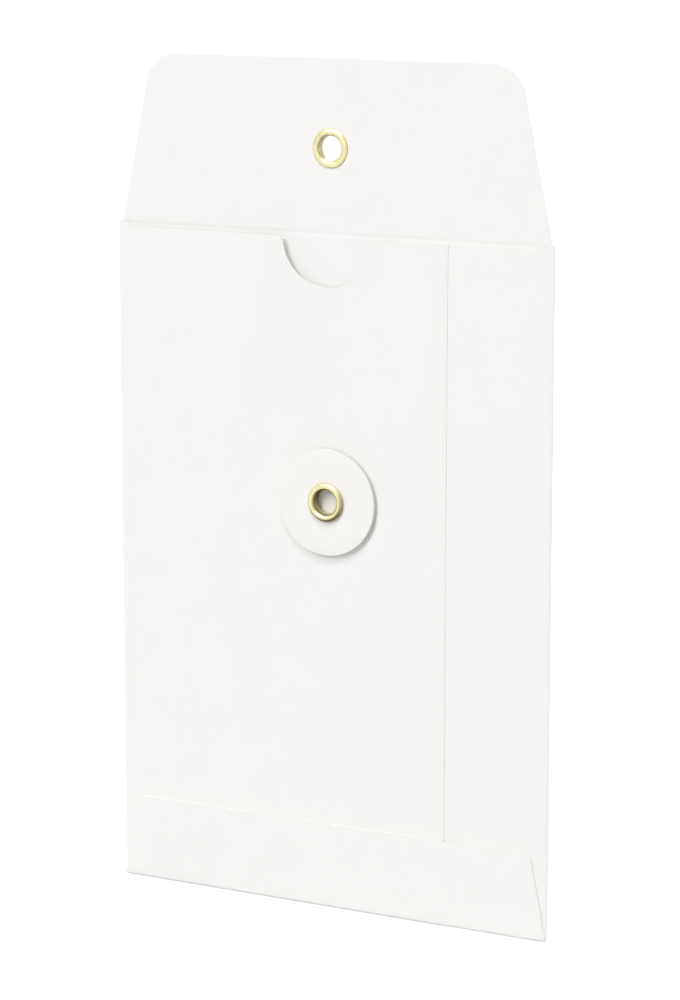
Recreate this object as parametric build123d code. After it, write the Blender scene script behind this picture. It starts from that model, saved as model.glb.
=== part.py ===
from build123d import *
import os
from math import pi, radians, tan

os.makedirs("parts", exist_ok=True)

# A pocket envelope of folded card with two button discs, upright with its flap open.
# X runs across it, Z up, and its front faces -Y, from an origin at the centre of the pocket's back face.
# Driving sizes, in millimetres and degrees.

# Card and glue
card = 0.3                     # thickness of the folded card
glue = 0.05                    # thickness of a glue line
press_gap = 0.02               # round an eyelet's barrel, where it is pressed through the card

# Pocket
pocket_width = 114.0           # across the side folds
pocket_height = 162.0          # bottom fold to mouth
pocket_depth = 0.4             # free depth inside the empty pocket
front_drop = 1.3               # upper edge of the front below the mouth
left_panel_width = 87.6        # left fold to the edge of the side seam
seam_overlap = 13.0            # how far the right panel runs on under the left one
seam_glue_width = 8.0
seam_glue_setback = 2.0        # from the edge of the seam
seam_glue_margin = 6.0         # from the top and bottom of the panels

# Thumb notch in the front's upper edge
notch_radius = 11.7
notch_depth = 11.5
notch_entry = 1.0              # radius of its two upper corners

# Bottom flap, folded up over the front
bottom_flap_height = 20.7      # from the foot to its upper edge
bottom_flap_inset = 0.2        # each side, at the fold
bottom_flap_slant = 11.4       # of its sides
bottom_flap_corner = 1.5
bottom_glue_height = 10.0
bottom_glue_margin = 4.0       # from the flap's upper edge, from the seam and from the left side

# Closure flap, open in line with the back
flap_height = 39.7             # mouth to tip
flap_shoulder = 0.8            # set in on each side, at the mouth
flap_slant = 12.2              # of its sides
flap_corner = 8.0
flap_shut_gap = 0.9            # left between the flap's eyelet and the front when shut

# Button discs
disc_diameter = 25.5
disc_thickness = 1.0
disc_flat = 11.0               # diameter of the flat middle
disc_lift = 0.3                # rim above the middle, so that string passes under it
disc_round = 0.15              # radius of its cut edges
disc_play = 0.05               # running gap at the barrel, the head and the card
body_button_drop = 63.0        # below the mouth
flap_button_rise = 19.3        # above the mouth

# Eyelets
eyelet_bore = 5.75
eyelet_wall = 0.3
head_diameter = 9.2
head_height = 1.0
clinch_diameter = 9.2
clinch_height = 0.5
clinch_room = 0.5              # round the clinch, where layers behind the front are cut away
lip_rim = 0.1                  # height of the lip at its outer edge
lip_throat = 0.25              # height of the lip where it meets the bore

# Levels through the thickness: the middle planes of the layers of card
layer = card + glue
back_y = -card / 2
right_y = back_y - card - pocket_depth
left_y = right_y - layer
bottom_flap_y = left_y - layer
front_face = left_y - card / 2
back_face = back_y + card / 2

# Folds: outer radius of each half tube
left_fold_radius = (back_y - left_y + card) / 2
right_fold_radius = (back_y - right_y + card) / 2
bottom_fold_radius = (back_y - bottom_flap_y + card) / 2

# Edges of the panels
half_width = pocket_width / 2
mouth = pocket_height / 2
foot = -pocket_height / 2
back_left = -half_width + left_fold_radius
back_right = half_width - right_fold_radius
panel_foot = foot + bottom_fold_radius
front_top = mouth - front_drop
seam_x = left_panel_width - half_width

# Crease of the closure flap: its strip is as long as the half circle that it makes when shut
shut_y = front_face - flap_shut_gap - clinch_height - card / 2
hinge_y = (back_y + shut_y) / 2
crease_height = pi * (back_y - hinge_y)
hinge_z = mouth + crease_height / 2
crease_top = mouth + crease_height

# Heights of the two buttons, and the barrel that both eyelets have
body_button_z = mouth - body_button_drop
flap_button_z = mouth + flap_button_rise
barrel_radius = eyelet_bore / 2 + eyelet_wall
grip = card + disc_thickness + 2 * disc_play


# Shared shapes

def plate(outline, y_middle, thickness=card):
    return extrude(Plane.XZ.offset(-y_middle) * outline, thickness / 2, both=True)


def block(x_low, x_high, z_low, z_high):
    return Pos(x_low, z_low) * Rectangle(x_high - x_low, z_high - z_low, align=(Align.MIN, Align.MIN))


def round_hole(z_middle):
    return Pos(0, z_middle) * Circle(barrel_radius + press_gap)


def tip_half_width(foot, half_foot, tip, slant):
    return half_foot - (tip - foot) * tan(radians(slant))


def tapered(foot, half_foot, tip, slant):
    half_tip = tip_half_width(foot, half_foot, tip, slant)
    points = [(-half_foot, foot), (half_foot, foot), (half_tip, tip), (-half_tip, tip)]
    return make_face(Polyline(*points, close=True))


def round_corners(outline, level, radius):
    corners = [corner for corner in outline.vertices() if abs(corner.Y - level) < 1e-6]
    return fillet(corners, radius)


def half_tube(radius, keep):
    ring = Circle(radius) - Circle(radius - card)
    return ring & Rectangle(2 * radius, 2 * radius, align=keep)


# Back of the pocket
back_panel = plate(block(back_left, back_right, panel_foot, mouth), back_y)

# Narrow right panel of the front, which runs on under the left one but not under the clinch
clinch_hole = Pos(0, body_button_z) * Circle(clinch_diameter / 2 + clinch_room)
right_outline = block(seam_x - seam_overlap, back_right, panel_foot, front_top)
right_panel = plate(right_outline - clinch_hole, right_y)

# Wide left panel of the front, with the thumb notch and the hole for the eyelet
notch = Pos(0, front_top - notch_depth + notch_radius) * Circle(notch_radius)
left_outline = block(back_left, seam_x, panel_foot, front_top) - notch
entries = [
    corner
    for corner in left_outline.vertices()
    if abs(corner.Y - front_top) < 1e-6 and abs(corner.X) < notch_radius
]
left_outline = fillet(entries, notch_entry) - round_hole(body_button_z)
left_panel = plate(left_outline, left_y)

# Folds down the sides, open towards the pocket
fold_height = mouth - panel_foot
left_tube = half_tube(left_fold_radius, (Align.MAX, Align.CENTER))
left_side_fold = Pos(back_left, (back_y + left_y) / 2, panel_foot) * extrude(left_tube, fold_height)
right_tube = half_tube(right_fold_radius, (Align.MIN, Align.CENTER))
right_side_fold = Pos(back_right, (back_y + right_y) / 2, panel_foot) * extrude(right_tube, fold_height)

# Bottom flap and its fold
bottom_half = half_width - bottom_flap_inset
bottom_tip = foot + bottom_flap_height
bottom_outline = tapered(panel_foot, bottom_half, bottom_tip, bottom_flap_slant)
bottom_flap = plate(round_corners(bottom_outline, bottom_tip, bottom_flap_corner), bottom_flap_y)
bottom_tube = half_tube(bottom_fold_radius, (Align.CENTER, Align.MAX))
bottom_fold_start = Plane.YZ.offset(-bottom_half) * Pos((back_y + bottom_flap_y) / 2, panel_foot)
bottom_fold = extrude(bottom_fold_start * bottom_tube, 2 * bottom_half)

# Glue lines
seam_glue_right = seam_x - seam_glue_setback
seam_glue_outline = block(
    seam_glue_right - seam_glue_width,
    seam_glue_right,
    panel_foot + seam_glue_margin,
    front_top - seam_glue_margin,
)
side_seam_glue = plate(seam_glue_outline - clinch_hole, (left_y + right_y) / 2, glue)
bottom_tip_half = tip_half_width(panel_foot, bottom_half, bottom_tip, bottom_flap_slant)
bottom_glue_top = bottom_tip - bottom_glue_margin
bottom_glue_outline = block(
    bottom_glue_margin - bottom_tip_half,
    seam_x - bottom_glue_margin,
    bottom_glue_top - bottom_glue_height,
    bottom_glue_top,
)
bottom_flap_glue = plate(bottom_glue_outline, (left_y + bottom_flap_y) / 2, glue)

# Closure flap, and the strip of it that bends at the mouth
flap_tip = mouth + flap_height
flap_outline = tapered(mouth, half_width - flap_shoulder, flap_tip, flap_slant)
flap_outline = round_corners(flap_outline, flap_tip, flap_corner)
crease_zone = block(-half_width, half_width, mouth, crease_top)
flap_crease = plate(flap_outline & crease_zone, back_y)
closure_flap = plate(flap_outline - crease_zone - round_hole(flap_button_z), back_y)

# Button disc: flat in the middle, its rim lifted off the card
disc_hole = barrel_radius + disc_play
disc_rim = disc_diameter / 2
disc_section = make_face(
    Polyline(
        (disc_hole, 0),
        (disc_flat / 2, 0),
        (disc_rim, disc_lift),
        (disc_rim, disc_lift + disc_thickness),
        (disc_flat / 2, disc_thickness),
        (disc_hole, disc_thickness),
        close=True,
    )
)
rim_corners = [corner for corner in disc_section.vertices() if abs(corner.X - disc_rim) < 1e-6]
disc_section = fillet(rim_corners, disc_round)
disc = revolve(Plane.XZ * disc_section, Axis.Z)

# Eyelet: a domed head on the disc, a barrel, and a rolled clinch behind the card
bore_radius = eyelet_bore / 2
head_radius = head_diameter / 2
clinch_radius = clinch_diameter / 2
clinch_tip = -grip - clinch_height
eyelet_outline = [
    Line((bore_radius, -grip - lip_throat), (bore_radius, lip_throat)),
    ThreePointArc(
        (bore_radius, lip_throat),
        ((bore_radius + head_radius) / 2, head_height),
        (head_radius, lip_rim),
    ),
    Polyline(
        (head_radius, lip_rim),
        (head_radius, 0),
        (barrel_radius, 0),
        (barrel_radius, -grip),
        (clinch_radius, -grip),
        (clinch_radius, -grip - lip_rim),
    ),
    ThreePointArc(
        (clinch_radius, -grip - lip_rim),
        ((bore_radius + clinch_radius) / 2, clinch_tip),
        (bore_radius, -grip - lip_throat),
    ),
]
eyelet = revolve(Plane.XZ * make_face(eyelet_outline), Axis.Z)

# The body button faces forward, the flap button backward, each seated on its card
body_seat = Plane((0, front_face, body_button_z), x_dir=(1, 0, 0), z_dir=(0, -1, 0))
flap_seat = Plane((0, back_face, flap_button_z), x_dir=(1, 0, 0), z_dir=(0, 1, 0))
on_card = Pos(0, 0, disc_play)
under_head = Pos(0, 0, disc_thickness + 2 * disc_play)

nodes = {
    "back_panel": back_panel,
    "left_panel": left_panel,
    "right_panel": right_panel,
    "left_side_fold": left_side_fold,
    "right_side_fold": right_side_fold,
    "bottom_fold": bottom_fold,
    "bottom_flap": bottom_flap,
    "side_seam_glue": side_seam_glue,
    "bottom_flap_glue": bottom_flap_glue,
    "flap_crease": flap_crease,
    "closure_flap": closure_flap,
    "body_disc": body_seat.location * on_card * disc,
    "body_eyelet": body_seat.location * under_head * eyelet,
    "flap_disc": flap_seat.location * on_card * disc,
    "flap_eyelet": flap_seat.location * under_head * eyelet,
}

for name, solid in nodes.items():
    export_step(solid, f"parts/{name}.step")

print(f"hinge at y {hinge_y:.4f}, z {hinge_z:.4f}; crease strip {crease_height:.4f} high")
bore_middle = back_face + disc_thickness + 2 * disc_play - grip / 2
bore_length = grip + 2 * lip_throat
print(f"flap eyelet's bore at y {bore_middle:.4f}, z {flap_button_z:.4f}, {bore_length:.4f} long")
print(f"body button at z {body_button_z:.4f}, front face at y {front_face:.4f}, mouth at z {mouth:.4f}")
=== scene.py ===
from math import atan2, cos, hypot, pi, radians, sin, sqrt, tan

import bmesh
import bpy
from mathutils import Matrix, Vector


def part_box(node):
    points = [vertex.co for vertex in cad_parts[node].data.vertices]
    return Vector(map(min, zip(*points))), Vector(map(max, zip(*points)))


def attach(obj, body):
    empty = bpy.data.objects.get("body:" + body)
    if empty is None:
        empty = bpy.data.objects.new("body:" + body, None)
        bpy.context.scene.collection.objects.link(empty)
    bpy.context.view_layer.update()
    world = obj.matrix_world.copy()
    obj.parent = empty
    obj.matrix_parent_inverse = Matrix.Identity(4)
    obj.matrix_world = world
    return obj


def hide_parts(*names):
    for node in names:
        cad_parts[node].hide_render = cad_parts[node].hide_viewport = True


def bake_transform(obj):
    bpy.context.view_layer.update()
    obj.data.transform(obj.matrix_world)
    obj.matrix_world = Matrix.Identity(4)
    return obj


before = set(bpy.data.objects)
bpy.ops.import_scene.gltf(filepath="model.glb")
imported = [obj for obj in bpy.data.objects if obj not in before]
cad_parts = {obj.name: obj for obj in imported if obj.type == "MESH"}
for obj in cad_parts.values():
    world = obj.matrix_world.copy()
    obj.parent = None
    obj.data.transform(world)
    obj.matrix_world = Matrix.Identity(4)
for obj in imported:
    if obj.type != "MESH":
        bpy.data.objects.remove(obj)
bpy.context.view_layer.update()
mm = 0.001
print("frame loaded,", len(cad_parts), "nodes")

scene = bpy.context.scene
scene.view_settings.view_transform = "Standard"

# Camera at the photograph's angle, on a long lens
viewpoint = {
    "aim": (3.09, -1.35, 18.61),  # mm, the point of the front at the middle of the picture
    "distance": 771,              # mm
    "azimuth": 28.23,             # degrees round to the right
    "elevation": 11.05,
    "lens": 118.95,
    "sensor": 36,
    "clipStart": 10,              # mm
}


def lookFrom(turn, rise):
    # a direction from the object, degrees round to the right of its front and up
    turn, rise = radians(turn), radians(rise)
    return Vector((sin(turn) * cos(rise), -cos(turn) * cos(rise), sin(rise)))


def placeCamera():
    away = lookFrom(viewpoint["azimuth"], viewpoint["elevation"])
    camera = bpy.data.objects.new("camera", bpy.data.cameras.new("camera"))
    camera.data.sensor_width = viewpoint["sensor"]
    camera.data.lens = viewpoint["lens"]
    camera.data.clip_start = viewpoint["clipStart"] * mm
    camera.location = (Vector(viewpoint["aim"]) + away * viewpoint["distance"]) * mm
    camera.rotation_euler = away.to_track_quat("Z", "Y").to_euler()
    scene.collection.objects.link(camera)
    scene.camera = camera


placeCamera()
print("camera placed")


# Materials

def addNode(tree, kind, values=None, **settings):
    node = tree.nodes.new(kind)
    for name, value in settings.items():
        setattr(node, name, value)
    for socket, value in (values or {}).items():
        node.inputs[socket].default_value = value
    return node


def newGroup(name, inputs, outputs):
    group = bpy.data.node_groups.new(name, "ShaderNodeTree")
    addSocket = group.interface.new_socket
    for socketName, start in inputs.items():
        socket = addSocket(name=socketName, in_out="INPUT", socket_type="NodeSocketFloat")
        socket.default_value = start
    for socketName in outputs:
        addSocket(name=socketName, in_out="OUTPUT", socket_type="NodeSocketFloat")
    return group, addNode(group, "NodeGroupInput"), addNode(group, "NodeGroupOutput")


fibreGrain = {
    "stretches": ((1, 1, 0.22), (0.28, 1, 1)),  # fibres that lie upright, and across
    "turn": 0.35,                               # radians, of the noise round Y
    "detail": 3, "roughness": 0.6,
    "cloudDetail": 4, "cloudRoughness": 0.55,
}


def makePaperFibre():
    # short fibres lying two ways, soft cloudiness from the pulp, and where a cut lays the core bare
    group, given, result = newGroup(
        "paperFibre", {"Fibre Scale": 1500, "Cloud Scale": 60}, ("Height", "Cloud", "Core")
    )
    link = group.links.new
    place = addNode(group, "ShaderNodeTexCoord")
    layers = []
    for stretch in fibreGrain["stretches"]:
        turned = addNode(group, "ShaderNodeMapping", {
            "Scale": stretch, "Rotation": (0, fibreGrain["turn"], 0),
        })
        noise = addNode(group, "ShaderNodeTexNoise", {
            "Detail": fibreGrain["detail"], "Roughness": fibreGrain["roughness"],
        })
        link(place.outputs["Object"], turned.inputs["Vector"])
        link(turned.outputs["Vector"], noise.inputs["Vector"])
        link(given.outputs["Fibre Scale"], noise.inputs["Scale"])
        layers.append(noise)
    both = addNode(group, "ShaderNodeMath", operation="ADD")
    half = addNode(group, "ShaderNodeMath", {1: 0.5}, operation="MULTIPLY")
    cloud = addNode(group, "ShaderNodeTexNoise", {
        "Detail": fibreGrain["cloudDetail"], "Roughness": fibreGrain["cloudRoughness"],
    })
    cut = addNode(group, "ShaderNodeAttribute", attribute_name="cutEdge")
    link(layers[0].outputs["Fac"], both.inputs[0])
    link(layers[1].outputs["Fac"], both.inputs[1])
    link(both.outputs["Value"], half.inputs[0])
    link(place.outputs["Object"], cloud.inputs["Vector"])
    link(given.outputs["Cloud Scale"], cloud.inputs["Scale"])
    link(half.outputs["Value"], result.inputs["Height"])
    link(cloud.outputs["Fac"], result.inputs["Cloud"])
    link(cut.outputs["Fac"], result.inputs["Core"])
    return group


paperFibre = makePaperFibre()
bumpDepth = 0.02 * mm  # what the whole height of a bump stands for


def newMaterial(name):
    material = bpy.data.materials.new(name)
    material.use_nodes = True
    tree = material.node_tree
    return material, tree, tree.nodes["Principled BSDF"]


def mixNode(tree, light, shade=None):
    mix = addNode(tree, "ShaderNodeMix", data_type="RGBA")
    mix.inputs["B"].default_value = (*light, 1)
    if shade:
        mix.inputs["A"].default_value = (*shade, 1)
    return mix


def glossNode(tree, rough):
    return addNode(tree, "ShaderNodeMapRange", {"To Min": rough[0], "To Max": rough[1]})


def bumpNode(tree, strength):
    return addNode(tree, "ShaderNodeBump", {"Strength": strength, "Distance": bumpDepth})


def paperMaterial(name, finish):
    material, tree, shader = newMaterial(name)
    link = tree.links.new
    fibre = addNode(tree, "ShaderNodeGroup", node_tree=paperFibre)
    fibre.inputs["Fibre Scale"].default_value = finish["fibreScale"]
    fibre.inputs["Cloud Scale"].default_value = finish["cloudScale"]
    tone = mixNode(tree, finish["light"], finish["shade"])
    core = mixNode(tree, finish["core"])
    gloss = glossNode(tree, finish["rough"])
    bump = bumpNode(tree, finish["bump"])
    link(fibre.outputs["Cloud"], tone.inputs["Factor"])
    link(fibre.outputs["Core"], core.inputs["Factor"])
    link(tone.outputs["Result"], core.inputs["A"])
    link(core.outputs["Result"], shader.inputs["Base Color"])
    link(fibre.outputs["Height"], gloss.inputs["Value"])
    link(gloss.outputs["Result"], shader.inputs["Roughness"])
    link(fibre.outputs["Height"], bump.inputs["Height"])
    link(bump.outputs["Normal"], shader.inputs["Normal"])
    shader.inputs["Specular IOR Level"].default_value = finish["specular"]
    return material


whiteCard = paperMaterial("whiteCard", {
    "light": (0.94, 0.93, 0.914), "shade": (0.92, 0.91, 0.894), "core": (0.76, 0.75, 0.73),
    "fibreScale": 1500, "cloudScale": 60, "rough": (0.6, 0.8), "bump": 0.35, "specular": 0.3,
})
buttonBoard = paperMaterial("buttonBoard", {
    "light": (0.94, 0.93, 0.91), "shade": (0.915, 0.905, 0.885), "core": (0.7, 0.69, 0.67),
    "fibreScale": 2200, "cloudScale": 180, "rough": (0.55, 0.75), "bump": 0.3, "specular": 0.3,
})
driedGlue = paperMaterial("driedGlue", {
    "light": (0.9, 0.88, 0.8), "shade": (0.86, 0.83, 0.74), "core": (0.86, 0.83, 0.74),
    "fibreScale": 400, "cloudScale": 300, "rough": (0.35, 0.5), "bump": 0.2, "specular": 0.5,
})

brassFinish = {
    # the dark brown below is painted shade and painted dark reflection, put into the eyelets' bores
    # and under their rims
    "light": (0.81, 0.77, 0.47), "shade": (0.63, 0.57, 0.3), "paintedShade": (0.078, 0.045, 0.01),
    "handlingScale": 500, "handlingDetail": 3, "rough": (0.3, 0.42),
    "scratchScale": 2500, "scratchDetail": 2, "bump": 0.12,
}


def brassMaterial():
    material, tree, shader = newMaterial("brass")
    link = tree.links.new
    place = addNode(tree, "ShaderNodeTexCoord")
    handling = addNode(tree, "ShaderNodeTexNoise", {
        "Scale": brassFinish["handlingScale"], "Detail": brassFinish["handlingDetail"],
    })
    scratch = addNode(tree, "ShaderNodeTexNoise", {
        "Scale": brassFinish["scratchScale"], "Detail": brassFinish["scratchDetail"],
    })
    tone = mixNode(tree, brassFinish["light"], brassFinish["shade"])
    # painted shade: a per-point attribute darkens the brass in the bore and round the rims towards
    # the dark brown
    paintedShade = addNode(tree, "ShaderNodeAttribute", attribute_name="paintedShade")
    shadeMix = mixNode(tree, brassFinish["paintedShade"])
    gloss = glossNode(tree, brassFinish["rough"])
    bump = bumpNode(tree, brassFinish["bump"])
    for noise in (handling, scratch):
        link(place.outputs["Object"], noise.inputs["Vector"])
    link(handling.outputs["Fac"], tone.inputs["Factor"])
    link(paintedShade.outputs["Fac"], shadeMix.inputs["Factor"])
    link(tone.outputs["Result"], shadeMix.inputs["A"])
    link(shadeMix.outputs["Result"], shader.inputs["Base Color"])
    link(handling.outputs["Fac"], gloss.inputs["Value"])
    link(gloss.outputs["Result"], shader.inputs["Roughness"])
    link(scratch.outputs["Fac"], bump.inputs["Height"])
    link(bump.outputs["Normal"], shader.inputs["Normal"])
    shader.inputs["Metallic"].default_value = 1
    return material


brass = brassMaterial()
print("materials made")


# Shared shaping
cutAngle = radians(60)  # an edge sharper than this is a raw cut
cutSteps = 3            # faces round it


def evenly(low, high, pitch):
    # from low to high in equal steps of about the pitch
    count = max(1, round(abs(high - low) / pitch))
    return [low + (high - low) * i / count for i in range(count + 1)]


def ease(value, low, high):
    # 0 at low and 1 at high, and level at both
    t = min(1, max(0, (value - low) / (high - low)))
    return t * t * (3 - 2 * t)


def middleOf(node, axis):
    low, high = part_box(node)
    return (low[axis] + high[axis]) / 2


def sheetPatch(bm, columns, rows, place):
    # a grid, each point put where place says for its column and row
    across, up = len(columns) - 1, len(rows) - 1
    grid = bmesh.ops.create_grid(bm, x_segments=across, y_segments=up, size=0.5)
    for vert in grid["verts"]:
        column = columns[round((vert.co.x + 0.5) * across)]
        row = rows[round((vert.co.y + 0.5) * up)]
        vert.co = place(column, row)
    return grid["verts"]


def punchHole(bm, verts, centreX, centreZ, radius):
    # the faces inside go, and the vertices round them move onto the circle
    def isInside(face):
        middle = face.calc_center_median()
        return hypot(middle.x - centreX, middle.z - centreZ) < radius

    faces = {face for vert in verts for face in vert.link_faces}
    inside = [face for face in faces if isInside(face)]
    rim = {vert for face in inside for vert in face.verts}
    bmesh.ops.delete(bm, geom=inside, context="FACES")
    for vert in rim:
        if vert.is_valid:
            out = Vector((vert.co.x - centreX, 0, vert.co.z - centreZ)).normalized() * radius
            vert.co = (centreX + out.x, vert.co.y, centreZ + out.z)


def finishPiece(name, bm, material, modifiers=(), sharpAngle=35):
    # the modifiers are applied, and edges past the angle, in degrees, stay sharp
    mesh = bpy.data.meshes.new(name)
    bm.to_mesh(mesh)
    bm.free()
    piece = bpy.data.objects.new(name, mesh)
    scene.collection.objects.link(piece)
    for kind, settings in modifiers:
        modifier = piece.modifiers.new(kind.lower(), kind)
        for setting, value in settings.items():
            setattr(modifier, setting, value)
    if modifiers:
        depsgraph = bpy.context.evaluated_depsgraph_get()
        piece.data = bpy.data.meshes.new_from_object(piece.evaluated_get(depsgraph))
        piece.data.name = name
        piece.modifiers.clear()
        bpy.data.meshes.remove(mesh)
    piece.data.materials.clear()
    piece.data.materials.append(material)
    piece.data.shade_smooth()
    piece.data.set_sharp_from_angle(angle=radians(sharpAngle))
    print(name, len(piece.data.polygons), "faces")
    return piece


def markCutEdges(piece, isCut):
    # raw cut edges show the core of the board
    layer = piece.data.attributes.new("cutEdge", "FLOAT", "FACE")
    layer.data.foreach_set("value", [float(isCut(face)) for face in piece.data.polygons])


# The folded card, one sheet from the tip of the flap to the end of the bottom flap
# Lengths in millimetres, slants in degrees
cardBlank = {
    "rowPitch": 1.6, "columnPitch": 1.9, "foldSteps": 12,
    "eyeletHole": 3.3,
    "cutEdge": 0.14,           # width of the rounding along raw edges
    "cutFace": 0.1,            # a face with a side shorter than this is part of it
    "merge": 0.002,            # points of neighbouring patches that are closer become one

    "notchRadius": 11.7, "notchDepth": 11.5, "notchEntry": 1.0, "notchSteps": 16, "entrySteps": 5,
    "frontRise": 5,            # the front's upper edge climbs to the side folds over this length
    "mouthBow": 0.8,           # how far the front stands off at the left of the notch
    "sideBow": -0.22,          # and away from there
    "bowMiddle": -12,          # where it bows most, across
    "bowReach": (3, 17),       # from there, where the bow begins to fade and where it ends
    "bowFoot": 38,             # height where it begins
    "bowTop": 4,               # above the mouth, where it would be full

    "flapSlant": 12.2, "flapCorner": 8, "flapCornerSteps": 12,
    "shoulderRise": 0.4,       # the sheet narrows to the flap over this height
    "creaseRows": 24,
    "creaseGap": 0.3,          # kept between the crease and the flap's next row
    "scoreDepth": 0.08,        # valley scored along the flap's fold
    "scoreHalf": 0.9,          # half its width
    "scoreBelow": 0.5,         # its middle, below the mouth
    "scoreInset": 2,           # it fades over this length at the side folds
    "scoreFoot": 1.6,          # below the mouth, where finer rows start
    "scorePitch": 0.2,

    "bottomSlant": 11.4, "bottomCorner": 1.5, "bottomCornerSteps": 5,
    "seamDrop": 0.3,           # the bottom flap lies lower where only one layer is under it
    "dropReach": (0.5, 4),     # from left of the seam to right of it
    "seamPress": 0.04,         # glued edges are pressed down
    "pressWidth": 3,           # over this width beside the seam
    "pressHeight": 6,          # and this height at the bottom flap's upper edge
    "softEdge": 0.9,           # they are pressed thinner too, over this width
    "softShare": 0.52,         # and by this share
}

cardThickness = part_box("back_panel")[1].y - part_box("back_panel")[0].y
backY, leftY, rightY = (middleOf(node, 1) for node in ("back_panel", "left_panel", "right_panel"))
bottomY = middleOf("bottom_flap", 1)
backLeft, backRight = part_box("back_panel")[0].x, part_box("back_panel")[1].x
panelFoot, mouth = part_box("back_panel")[0].z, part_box("back_panel")[1].z
seamX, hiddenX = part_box("left_panel")[1].x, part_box("right_panel")[0].x
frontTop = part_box("left_panel")[1].z
creaseTop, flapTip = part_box("flap_crease")[1].z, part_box("closure_flap")[1].z
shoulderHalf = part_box("flap_crease")[1].x
bottomHalf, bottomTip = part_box("bottom_flap")[1].x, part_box("bottom_flap")[1].z
bodyButtonZ, flapButtonZ = middleOf("body_disc", 2), middleOf("flap_disc", 2)
flatTest = 0.01 * mm     # how near to the back's middle plane counts as on it
layerMargin = 1.01       # and how much of a layer's thickness counts as inside it


def bowAt(x, z):
    # the front stands off the back at the left of the notch, and is pressed in away from there
    near, far = cardBlank["bowReach"]
    aside = ease(abs(x - cardBlank["bowMiddle"] * mm), near * mm, far * mm)
    bow = cardBlank["mouthBow"] + aside * (cardBlank["sideBow"] - cardBlank["mouthBow"])
    return bow * mm * ease(z, cardBlank["bowFoot"] * mm, mouth + cardBlank["bowTop"] * mm)


def bowFront(vert):
    # the whole bow at the front, none at the back
    share = min(1, max(0, (backY - vert.co.y) / (backY - rightY)))
    vert.co.y -= share * bowAt(vert.co.x, vert.co.z)


def seamLevel(x):
    # the left panel's middle plane, pressed down towards the seam
    start = seamX - cardBlank["pressWidth"] * mm
    return leftY + cardBlank["seamPress"] * mm * ease(x, start, seamX)


def settle(x, y, z=panelFoot):
    # the bottom flap and its fold settle where the seam ends, and at the flap's upper edge
    before, after = cardBlank["dropReach"]
    drop = cardBlank["seamDrop"] * mm * ease(x, seamX - before * mm, seamX + after * mm)
    start = bottomTip - cardBlank["pressHeight"] * mm
    drop += cardBlank["seamPress"] * mm * ease(z, start, bottomTip)
    return y + drop * (backY - y) / (backY - bottomY)


def frontEdge(x):
    # height of the front's upper edge
    gap = min(x - backLeft, backRight - x)
    return mouth - (mouth - frontTop) * ease(gap, 0, cardBlank["frontRise"] * mm)


def scoreFold(vert):
    # a shallow valley along the flap's fold, its middle just below the mouth
    below = cardBlank["scoreBelow"] * mm
    off = abs(vert.co.z - mouth + below) / (cardBlank["scoreHalf"] * mm)
    if abs(vert.co.y - backY) < flatTest and off < 1:
        gap = min(vert.co.x - backLeft, backRight - vert.co.x)
        inset = ease(gap, 0, cardBlank["scoreInset"] * mm)
        vert.co.y += cardBlank["scoreDepth"] * mm * inset * (1 - ease(off, 0, 1))


def taperRows(low, lowHalf, tip, slant, corner, pitch, steps):
    # rows up a tapering flap with rounded corners, each with its half width
    start = radians(slant)
    lean = tan(start)
    arcFoot = tip - corner + corner * sin(start)
    arcX = lowHalf - (arcFoot - low) * lean - corner * cos(start)
    rows = [(z, lowHalf - (z - low) * lean) for z in evenly(low, arcFoot, pitch)]
    for angle in evenly(start, pi / 2, (pi / 2 - start) / steps)[1:]:
        rows.append((tip - corner + corner * sin(angle), arcX + corner * cos(angle)))
    return rows


def mouthEdge():
    # columns of the left panel from the fold to the seam: a point of its upper edge, with the
    # thumb notch in it, and the place across of the column's foot
    radius, entry = cardBlank["notchRadius"] * mm, cardBlank["notchEntry"] * mm
    centre = frontTop - cardBlank["notchDepth"] * mm + radius
    drop = centre - frontTop + entry
    reach = sqrt((radius + entry) ** 2 - drop ** 2)
    lean = atan2(drop, reach)
    pitch = cardBlank["columnPitch"] * mm
    half = []
    for angle in evenly(0, pi / 2 - lean, pi / 2 / cardBlank["notchSteps"]):
        half.append((radius * sin(angle), centre - radius * cos(angle)))
    for angle in evenly(pi - lean, pi / 2, pi / 2 / cardBlank["entrySteps"])[1:]:
        half.append((reach + entry * cos(angle), frontTop - entry + entry * sin(angle)))
    softStart = seamX - cardBlank["softEdge"] * mm
    right = half + [(x, frontTop) for x in evenly(reach, softStart, pitch)[1:] + [seamX]]
    left = half + [(x, frontEdge(-x)) for x in evenly(reach, -backLeft, pitch / 2)[1:]]
    columns = []
    for side, edge, end in ((-1, left[::-1], -backLeft), (1, right, seamX)):
        spread = [end * i / (len(edge) - 1) for i in range(len(edge))]
        if side < 0:
            spread.reverse()
        columns += [(side * x, z, side * footX) for (x, z), footX in zip(edge, spread)]
    return columns[:len(left)] + columns[len(left) + 1:]


def pressThin(vert, middle, gap):
    # a glued edge is pressed thinner, towards the face that it lies on
    height = middle + cardThickness / 2 - vert.co.y
    if 0 < height < layerMargin * cardThickness:
        fade = 1 - ease(gap, 0, cardBlank["softEdge"] * mm)
        vert.co.y += height * cardBlank["softShare"] * fade


def pressGluedEdges(verts):
    # the edge of the seam, and below it the sides of the bottom flap
    slant = radians(cardBlank["bottomSlant"])
    for vert in verts:
        x, z = vert.co.x, vert.co.z
        if z > bottomTip:
            pressThin(vert, seamLevel(x) - bowAt(x, z), seamX - x)
        elif z > panelFoot:
            gap = (bottomHalf - (z - panelFoot) * tan(slant) - abs(x)) * cos(slant)
            pressThin(vert, settle(x, bottomY, z), gap)


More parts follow.
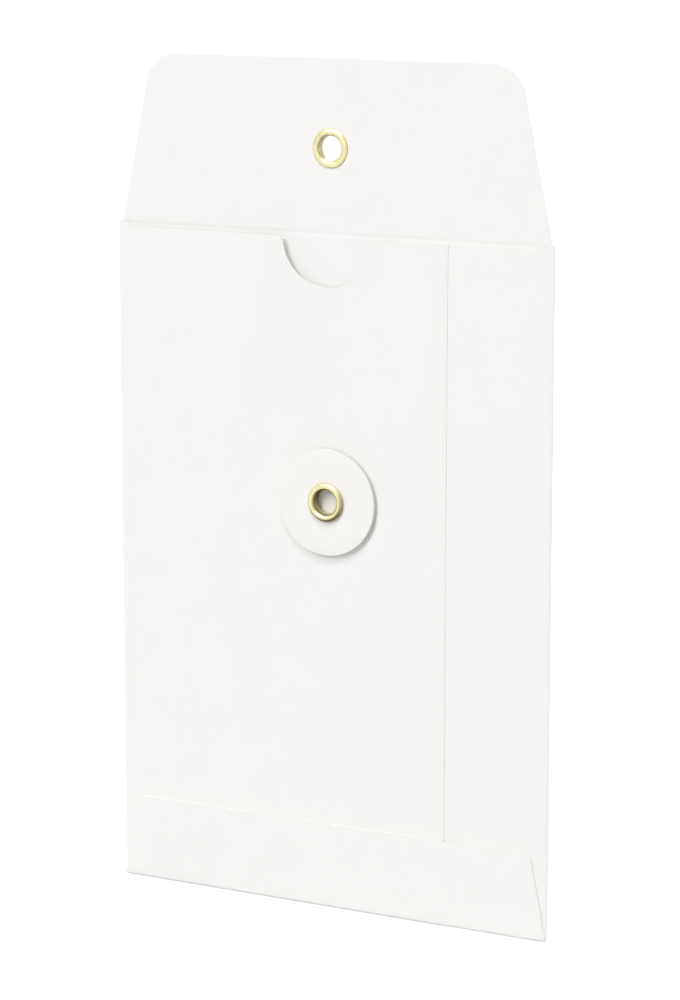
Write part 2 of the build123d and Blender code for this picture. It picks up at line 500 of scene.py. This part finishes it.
def makeCardBlank():
    bm = bmesh.new()
    pitch, rowPitch = cardBlank["columnPitch"] * mm, cardBlank["rowPitch"] * mm
    scoreFoot = mouth - cardBlank["scoreFoot"] * mm
    zRows = evenly(panelFoot, scoreFoot, rowPitch)
    zRows += evenly(scoreFoot, mouth, cardBlank["scorePitch"] * mm)[1:]
    backWidth = backRight - backLeft
    softStep = cardBlank["softEdge"] * mm / backWidth
    across = sorted(evenly(0, 1, pitch / backWidth) + [softStep, 1 - softStep])
    turns = evenly(0, pi, pi / cardBlank["foldSteps"])
    hole = cardBlank["eyeletHole"] * mm

    sheetPatch(bm, across, zRows, lambda share, z: (backLeft + share * backWidth, backY, z))

    # sides: a half turn, then a panel across the front
    def sideFold(edge, frontY, side):
        radius, centre = (backY - frontY) / 2, (backY + frontY) / 2
        return lambda turn, z: (edge + side * radius * sin(turn), centre + radius * cos(turn), z)

    sheetPatch(bm, turns, zRows, sideFold(backLeft, leftY, -1))
    sheetPatch(bm, turns, zRows, sideFold(backRight, rightY, 1))

    def leftPanel(column, z):
        topX, topZ, footX = column
        share = (z - panelFoot) / (mouth - panelFoot)
        x = footX + (topX - footX) * share
        return x, seamLevel(x), panelFoot + (topZ - panelFoot) * share

    left = sheetPatch(bm, mouthEdge(), zRows, leftPanel)
    punchHole(bm, left, 0, bodyButtonZ, hole)

    def rightPanel(x, z):
        share = (z - panelFoot) / (mouth - panelFoot)
        return x, rightY, panelFoot + (frontEdge(x) - panelFoot) * share

    rise = backRight - cardBlank["frontRise"] * mm
    rightColumns = evenly(hiddenX, rise, pitch) + evenly(rise, backRight, pitch / 2)[1:]
    sheetPatch(bm, rightColumns, zRows, rightPanel)
    for vert in bm.verts:
        bowFront(vert)

    def acrossAt(share, half, step):
        # a place across the sheet, whose half width goes over from the back's to the flap's
        low = backLeft + step * (-half - backLeft)
        high = backRight + step * (half - backRight)
        return low + share * (high - low)

    # bottom: round the fold and up over the front
    radius, centre = (backY - bottomY) / 2, (backY + bottomY) / 2

    def bottomFold(share, turn):
        x = acrossAt(share, bottomHalf, ease(turn, 0, pi / 2))
        return x, settle(x, centre + radius * cos(turn)), panelFoot - radius * sin(turn)

    def bottomFlap(share, row):
        z, half = row
        x = half * (2 * share - 1)
        return x, settle(x, bottomY, z), z

    bottomRows = taperRows(
        panelFoot, bottomHalf, bottomTip, cardBlank["bottomSlant"],
        cardBlank["bottomCorner"] * mm, rowPitch, cardBlank["bottomCornerSteps"],
    )
    sheetPatch(bm, across, turns, bottomFold)
    sheetPatch(bm, across, bottomRows, bottomFlap)

    # closure flap: the strip that bends, then the flap itself
    flapRows = taperRows(
        mouth, shoulderHalf, flapTip, cardBlank["flapSlant"],
        cardBlank["flapCorner"] * mm, rowPitch, cardBlank["flapCornerSteps"],
    )
    lean = tan(radians(cardBlank["flapSlant"]))
    creaseZ = evenly(mouth, creaseTop, (creaseTop - mouth) / cardBlank["creaseRows"])
    creaseRows = [(z, shoulderHalf - (z - mouth) * lean) for z in creaseZ]
    flapStart = creaseTop + cardBlank["creaseGap"] * mm
    flapRows = creaseRows + [row for row in flapRows if row[0] > flapStart]

    def closureFlap(share, row):
        z, half = row
        step = ease(z, mouth, mouth + cardBlank["shoulderRise"] * mm)
        return acrossAt(share, half, step), backY, z

    flap = sheetPatch(bm, across, flapRows, closureFlap)
    punchHole(bm, flap, 0, flapButtonZ, hole)
    for vert in bm.verts:
        scoreFold(vert)
    bmesh.ops.remove_doubles(bm, verts=bm.verts, dist=cardBlank["merge"] * mm)
    bmesh.ops.recalc_face_normals(bm, faces=bm.faces)
    piece = finishPiece("cardBlank", bm, whiteCard, (
        ("SOLIDIFY", {"thickness": cardThickness, "offset": 0, "use_even_offset": True}),
        ("BEVEL", {
            "width": cardBlank["cutEdge"] * mm, "segments": cutSteps, "limit_method": "ANGLE",
            "angle_limit": cutAngle, "use_clamp_overlap": True,
        }),
    ))
    points = piece.data.vertices

    def shortestSide(face):
        corners = [points[i].co for i in face.vertices]
        return min((a - b).length for a, b in zip(corners, corners[1:] + corners[:1]))

    markCutEdges(piece, lambda face: shortestSide(face) < cardBlank["cutFace"] * mm)
    pressGluedEdges(points)
    return piece


blank = makeCardBlank()
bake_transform(blank)
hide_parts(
    "back_panel", "left_panel", "right_panel", "left_side_fold", "right_side_fold",
    "bottom_fold", "bottom_flap", "flap_crease", "closure_flap",
)

# Glue lines between the layers
glueLine = {"pitch": 2}  # mm, between its rows and columns


def makeGlue(name, node):
    low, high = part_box(node)
    pitch = glueLine["pitch"] * mm
    bm = bmesh.new()
    sheetPatch(
        bm, evenly(low.x, high.x, pitch), evenly(low.z, high.z, pitch),
        lambda x, z: (x, (low.y + high.y) / 2, z),
    )
    for vert in bm.verts:
        bowFront(vert)
    bmesh.ops.recalc_face_normals(bm, faces=bm.faces)
    piece = finishPiece(name, bm, driedGlue, (
        ("SOLIDIFY", {"thickness": high.y - low.y, "offset": 0}),
    ))
    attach(piece, "pocket")
    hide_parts(node)


makeGlue("seamGlue", "side_seam_glue")
makeGlue("bottomGlue", "bottom_flap_glue")

# Round pieces, turned from a section given as radius and height above the seat
turnMerge = 0.001 * mm  # points of the last and first step that are closer become one


def turnSection(bm, section, steps):
    ring = [bm.verts.new((radius, 0, height)) for radius, height in section]
    edges = [bm.edges.new((ring[i], ring[i - 1])) for i in range(len(ring))]
    bmesh.ops.spin(
        bm, geom=ring + edges, cent=(0, 0, 0), axis=(0, 0, 1), angle=2 * pi, steps=steps,
        use_merge=True,
    )
    bmesh.ops.remove_doubles(bm, verts=bm.verts, dist=turnMerge)
    bmesh.ops.recalc_face_normals(bm, faces=bm.faces)


def seatPiece(bm, seat, facing):
    # heights turn to point out of the card, forwards on the front and backwards on the flap
    for vert in bm.verts:
        x, y, height = vert.co
        vert.co = (seat[0] - facing * x, seat[1] + facing * height, seat[2] + y)
    bmesh.ops.recalc_face_normals(bm, faces=bm.faces)


buttonDisc = {
    "hole": 3.22, "flat": 5.5, "radius": 12.75, "thickness": 1.0, "lift": 0.3,  # mm
    "cutEdge": 0.14, "warp": 0.05,                                              # mm
    "steps": 128,
    "riseShare": 0.42,  # of the lift, reached half way from the flat to the rim
    "warpTurn": 0.6,    # radians, of the warp round the disc
    "rimShare": 0.99,   # of the radius, outside which an edge is the rim's
}


def makeDisc(name, node, facing, body):
    low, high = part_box(node)
    size = {key: value * mm for key, value in buttonDisc.items()}
    mid = (size["flat"] + size["radius"]) / 2
    rise = size["lift"] * buttonDisc["riseShare"]
    section = [
        (size["hole"], 0), (size["flat"], 0), (mid, rise), (size["radius"], size["lift"]),
        (size["radius"], size["lift"] + size["thickness"]), (mid, rise + size["thickness"]),
        (size["flat"], size["thickness"]), (size["hole"], size["thickness"]),
    ]
    bm = bmesh.new()
    turnSection(bm, section, buttonDisc["steps"])
    rimStart = buttonDisc["rimShare"] * size["radius"]
    rim = [
        edge for edge in bm.edges
        if len(edge.link_faces) == 2 and edge.calc_face_angle() > cutAngle
        and min(hypot(*vert.co.xy) for vert in edge.verts) > rimStart
    ]
    bmesh.ops.bevel(
        bm, geom=rim, affect="EDGES", offset=size["cutEdge"], segments=cutSteps, profile=0.5,
        material=-1,
    )
    for vert in bm.verts:
        reach = ease(hypot(*vert.co.xy), size["flat"], size["radius"])
        turn = 2 * atan2(vert.co.y, vert.co.x) + buttonDisc["warpTurn"]
        vert.co.z += size["warp"] * reach * cos(turn)
    seatY = high.y if facing < 0 else low.y
    seatZ = middleOf(node, 2)
    seatPiece(bm, (0, seatY, seatZ), facing)
    piece = finishPiece(name, bm, buttonBoard)
    cutStart = size["radius"] - size["cutEdge"] / 2
    markCutEdges(piece, lambda face: hypot(face.center.x, face.center.z - seatZ) > cutStart)
    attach(piece, body)
    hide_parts(node)


makeDisc("bodyDisc", "body_disc", -1, "body_button")
makeDisc("flapDisc", "flap_disc", 1, "flap_button")

rolledEyelet = {
    "bore": 2.875, "wall": 0.3, "grip": 1.4,  # mm, as all lengths here
    "crown": 3.75,         # radius where head and clinch are highest
    "head": 4.6, "headHeight": 1.0,
    "throat": 0.2,         # the head rolls this far down into the bore
    "curl": 0.5,           # height at which the head is widest
    "curlIn": 0.3,         # how far it then curls in
    "sit": 0.05,           # how far its underside reaches down to the disc
    "clinch": 4.6, "clinchHeight": 0.5,
    "clinchLip": 0.1,      # the clinch begins to roll this far up the bore
    "petals": 6,           # splits round the clinch
    "petalDepth": 0.22,
    "petalPower": 6,       # a higher power makes the splits narrower
    "steps": 120, "rollSteps": 10, "rimSteps": 8, "curlSteps": 4, "clinchSteps": 9,
    "sharpAngle": 50,      # degrees
    # painted shade in the bore and on the rims, darkest at an angle in degrees from the right
    "bodyShadeStrength": 0.95, "flapShadeStrength": 0.65,
    "boreFrom": 0.2,       # outside the bore, where it begins to fade
    "boreTo": 0.15,        # inside the crown, where it ends
    "boreTurn": 118,
    "boreBase": 0.5,       # share of it that is the same all round
    "rimInset": 0.4,       # inside the edge of the head, where the rim's painted shade is full
    "rimTurn": -68,
    "rimBase": 0.35,
}


def quarterRoll(start, end, steps):
    # from upright at the start to level at the end
    wide, tall = start[0] - end[0], end[1] - start[1]
    turns = evenly(0, pi / 2, pi / 2 / steps)
    return [(end[0] + wide * cos(turn), start[1] + tall * sin(turn)) for turn in turns]


def sidedShare(turn, middle, base):
    # 1 at the middle angle, less on the other side
    return max(0, base + (1 - base) * cos(turn - radians(middle)))


def makeEyelet(name, node, facing, body, shadeStrength):
    low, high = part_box(node)
    size = {key: value * mm for key, value in rolledEyelet.items()}
    bore, crown, head, clinch = size["bore"], size["crown"], size["head"], size["clinch"]
    barrel = bore + size["wall"]
    top, under = size["headHeight"], -size["grip"]
    tip = under - size["clinchHeight"]
    headRoll = quarterRoll((bore, -size["throat"]), (crown, top), rolledEyelet["rollSteps"])
    headRim = quarterRoll((head, size["curl"]), (crown, top), rolledEyelet["rimSteps"])[::-1]
    curlEnd = (head - size["curlIn"], -size["sit"])
    headCurl = quarterRoll((head, size["curl"]), curlEnd, rolledEyelet["curlSteps"])
    clinchRim = quarterRoll((clinch, under), (crown, tip), rolledEyelet["rimSteps"])
    lip = (bore, under + size["clinchLip"])
    clinchRoll = quarterRoll(lip, (crown, tip), rolledEyelet["clinchSteps"])[::-1]
    section = headRoll + headRim[1:] + headCurl[1:] + [(barrel, -size["sit"]), (barrel, under)]
    section += clinchRim + clinchRoll[1:]
    bm = bmesh.new()
    turnSection(bm, section, rolledEyelet["steps"])

    boreFrom = bore + size["boreFrom"]
    boreTo = crown - size["boreTo"]
    rimFull = head - size["rimInset"]
    shadeLayer = bm.verts.layers.float.new("paintedShade")
    for vert in bm.verts:
        # painted shade, darker down the bore and most at its upper left as the front is seen, and
        # round the rims, most at their lower right, where each falls in shade
        reach = hypot(*vert.co.xy)
        turn = atan2(vert.co.y, -facing * vert.co.x)
        depth = ease(-vert.co.z, -under, -tip)
        boreShade = 1 - ease(reach, boreFrom, boreTo)
        boreShade *= sidedShare(turn, rolledEyelet["boreTurn"], rolledEyelet["boreBase"])
        rimShade = (1 - depth) * ease(reach, crown, rimFull)
        rimShade *= sidedShare(turn, rolledEyelet["rimTurn"], rolledEyelet["rimBase"])
        vert[shadeLayer] = shadeStrength * max(boreShade, rimShade)
        # and split into petals round the clinch
        split = abs(sin(turn * rolledEyelet["petals"] / 2)) ** rolledEyelet["petalPower"]
        pinch = 1 - size["petalDepth"] / clinch * depth * split
        vert.co.x *= pinch
        vert.co.y *= pinch
    seatY = (high.y if facing > 0 else low.y) - facing * top
    seatPiece(bm, (0, seatY, middleOf(node, 2)), facing)
    piece = finishPiece(name, bm, brass, sharpAngle=rolledEyelet["sharpAngle"])
    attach(piece, body)
    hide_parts(node)


makeEyelet("bodyEyelet", "body_eyelet", -1, "pocket", rolledEyelet["bodyShadeStrength"])
makeEyelet("flapEyelet", "flap_eyelet", 1, "flap", rolledEyelet["flapShadeStrength"])
print("pieces made")

# Floor, world and lamps
studio = {
    "floorSize": 4, "floorTone": (0.74, 0.74, 0.74), "floorLift": 0.56,
    "floorDrop": 0.1,  # mm under the bottom fold
    "worldLevel": 0.2, "backdropLevel": 1.03,
    "lamps": {  # degrees round and up from the front, metres, watts
        "keyLamp": {"turn": -16, "rise": 34, "distance": 6, "size": 2.4, "power": 161},
        "topLamp": {"turn": 8, "rise": 61, "distance": 5, "size": 1.4, "power": 91},
        "rimLamp": {"turn": 110, "rise": 12, "distance": 3, "size": 0.8, "power": 35},
        "backLamp": {"turn": 205, "rise": 40, "distance": 3, "size": 1.6, "power": 32},
    },
}


def seenDirectly(tree):
    # 1 for rays from the camera, in reflections and through clear material
    path = addNode(tree, "ShaderNodeLightPath")
    first = addNode(tree, "ShaderNodeMath", operation="ADD")
    second = addNode(tree, "ShaderNodeMath", operation="ADD", use_clamp=True)
    tree.links.new(path.outputs["Is Camera Ray"], first.inputs[0])
    tree.links.new(path.outputs["Is Glossy Ray"], first.inputs[1])
    tree.links.new(first.outputs["Value"], second.inputs[0])
    tree.links.new(path.outputs["Is Transmission Ray"], second.inputs[1])
    return second.outputs["Value"]


def makeFloor():
    bm = bmesh.new()
    bmesh.ops.create_grid(bm, x_segments=1, y_segments=1, size=studio["floorSize"] / 2)
    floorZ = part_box("bottom_fold")[0].z - studio["floorDrop"] * mm
    bmesh.ops.translate(bm, verts=bm.verts, vec=(0, 0, floorZ))
    material = bpy.data.materials.new("studioFloor")
    material.use_nodes = True
    tree = material.node_tree
    tree.nodes.clear()
    link = tree.links.new
    output = addNode(tree, "ShaderNodeOutputMaterial")
    matte = addNode(tree, "ShaderNodeBsdfDiffuse", {"Color": (*studio["floorTone"], 1)})
    glow = addNode(tree, "ShaderNodeEmission")
    lift = addNode(tree, "ShaderNodeMath", {1: studio["floorLift"]}, operation="MULTIPLY")
    both = addNode(tree, "ShaderNodeAddShader")
    link(seenDirectly(tree), lift.inputs[0])
    link(lift.outputs["Value"], glow.inputs["Strength"])
    link(matte.outputs["BSDF"], both.inputs[0])
    link(glow.outputs["Emission"], both.inputs[1])
    link(both.outputs["Shader"], output.inputs["Surface"])
    finishPiece("studioFloor", bm, material)


def makeWorld():
    world = bpy.data.worlds.new("studio")
    scene.world = world
    world.use_nodes = True
    tree = world.node_tree
    tree.nodes.clear()
    link = tree.links.new
    output = addNode(tree, "ShaderNodeOutputWorld")
    choice = addNode(tree, "ShaderNodeMixShader")
    link(seenDirectly(tree), choice.inputs["Fac"])
    for place, level in ((1, studio["worldLevel"]), (2, studio["backdropLevel"])):
        light = addNode(tree, "ShaderNodeBackground", {"Color": (1, 1, 1, 1), "Strength": level})
        link(light.outputs["Background"], choice.inputs[place])
    link(choice.outputs["Shader"], output.inputs["Surface"])


def makeLamps():
    for name, lampSet in studio["lamps"].items():
        away = lookFrom(lampSet["turn"], lampSet["rise"])
        lamp = bpy.data.objects.new(name, bpy.data.lights.new(name, "AREA"))
        lamp.data.energy = lampSet["power"]
        lamp.data.size = lampSet["size"]
        lamp.location = away * lampSet["distance"]
        lamp.rotation_euler = away.to_track_quat("Z", "Y").to_euler()
        scene.collection.objects.link(lamp)


makeFloor()
makeWorld()
makeLamps()
print("studio lit")
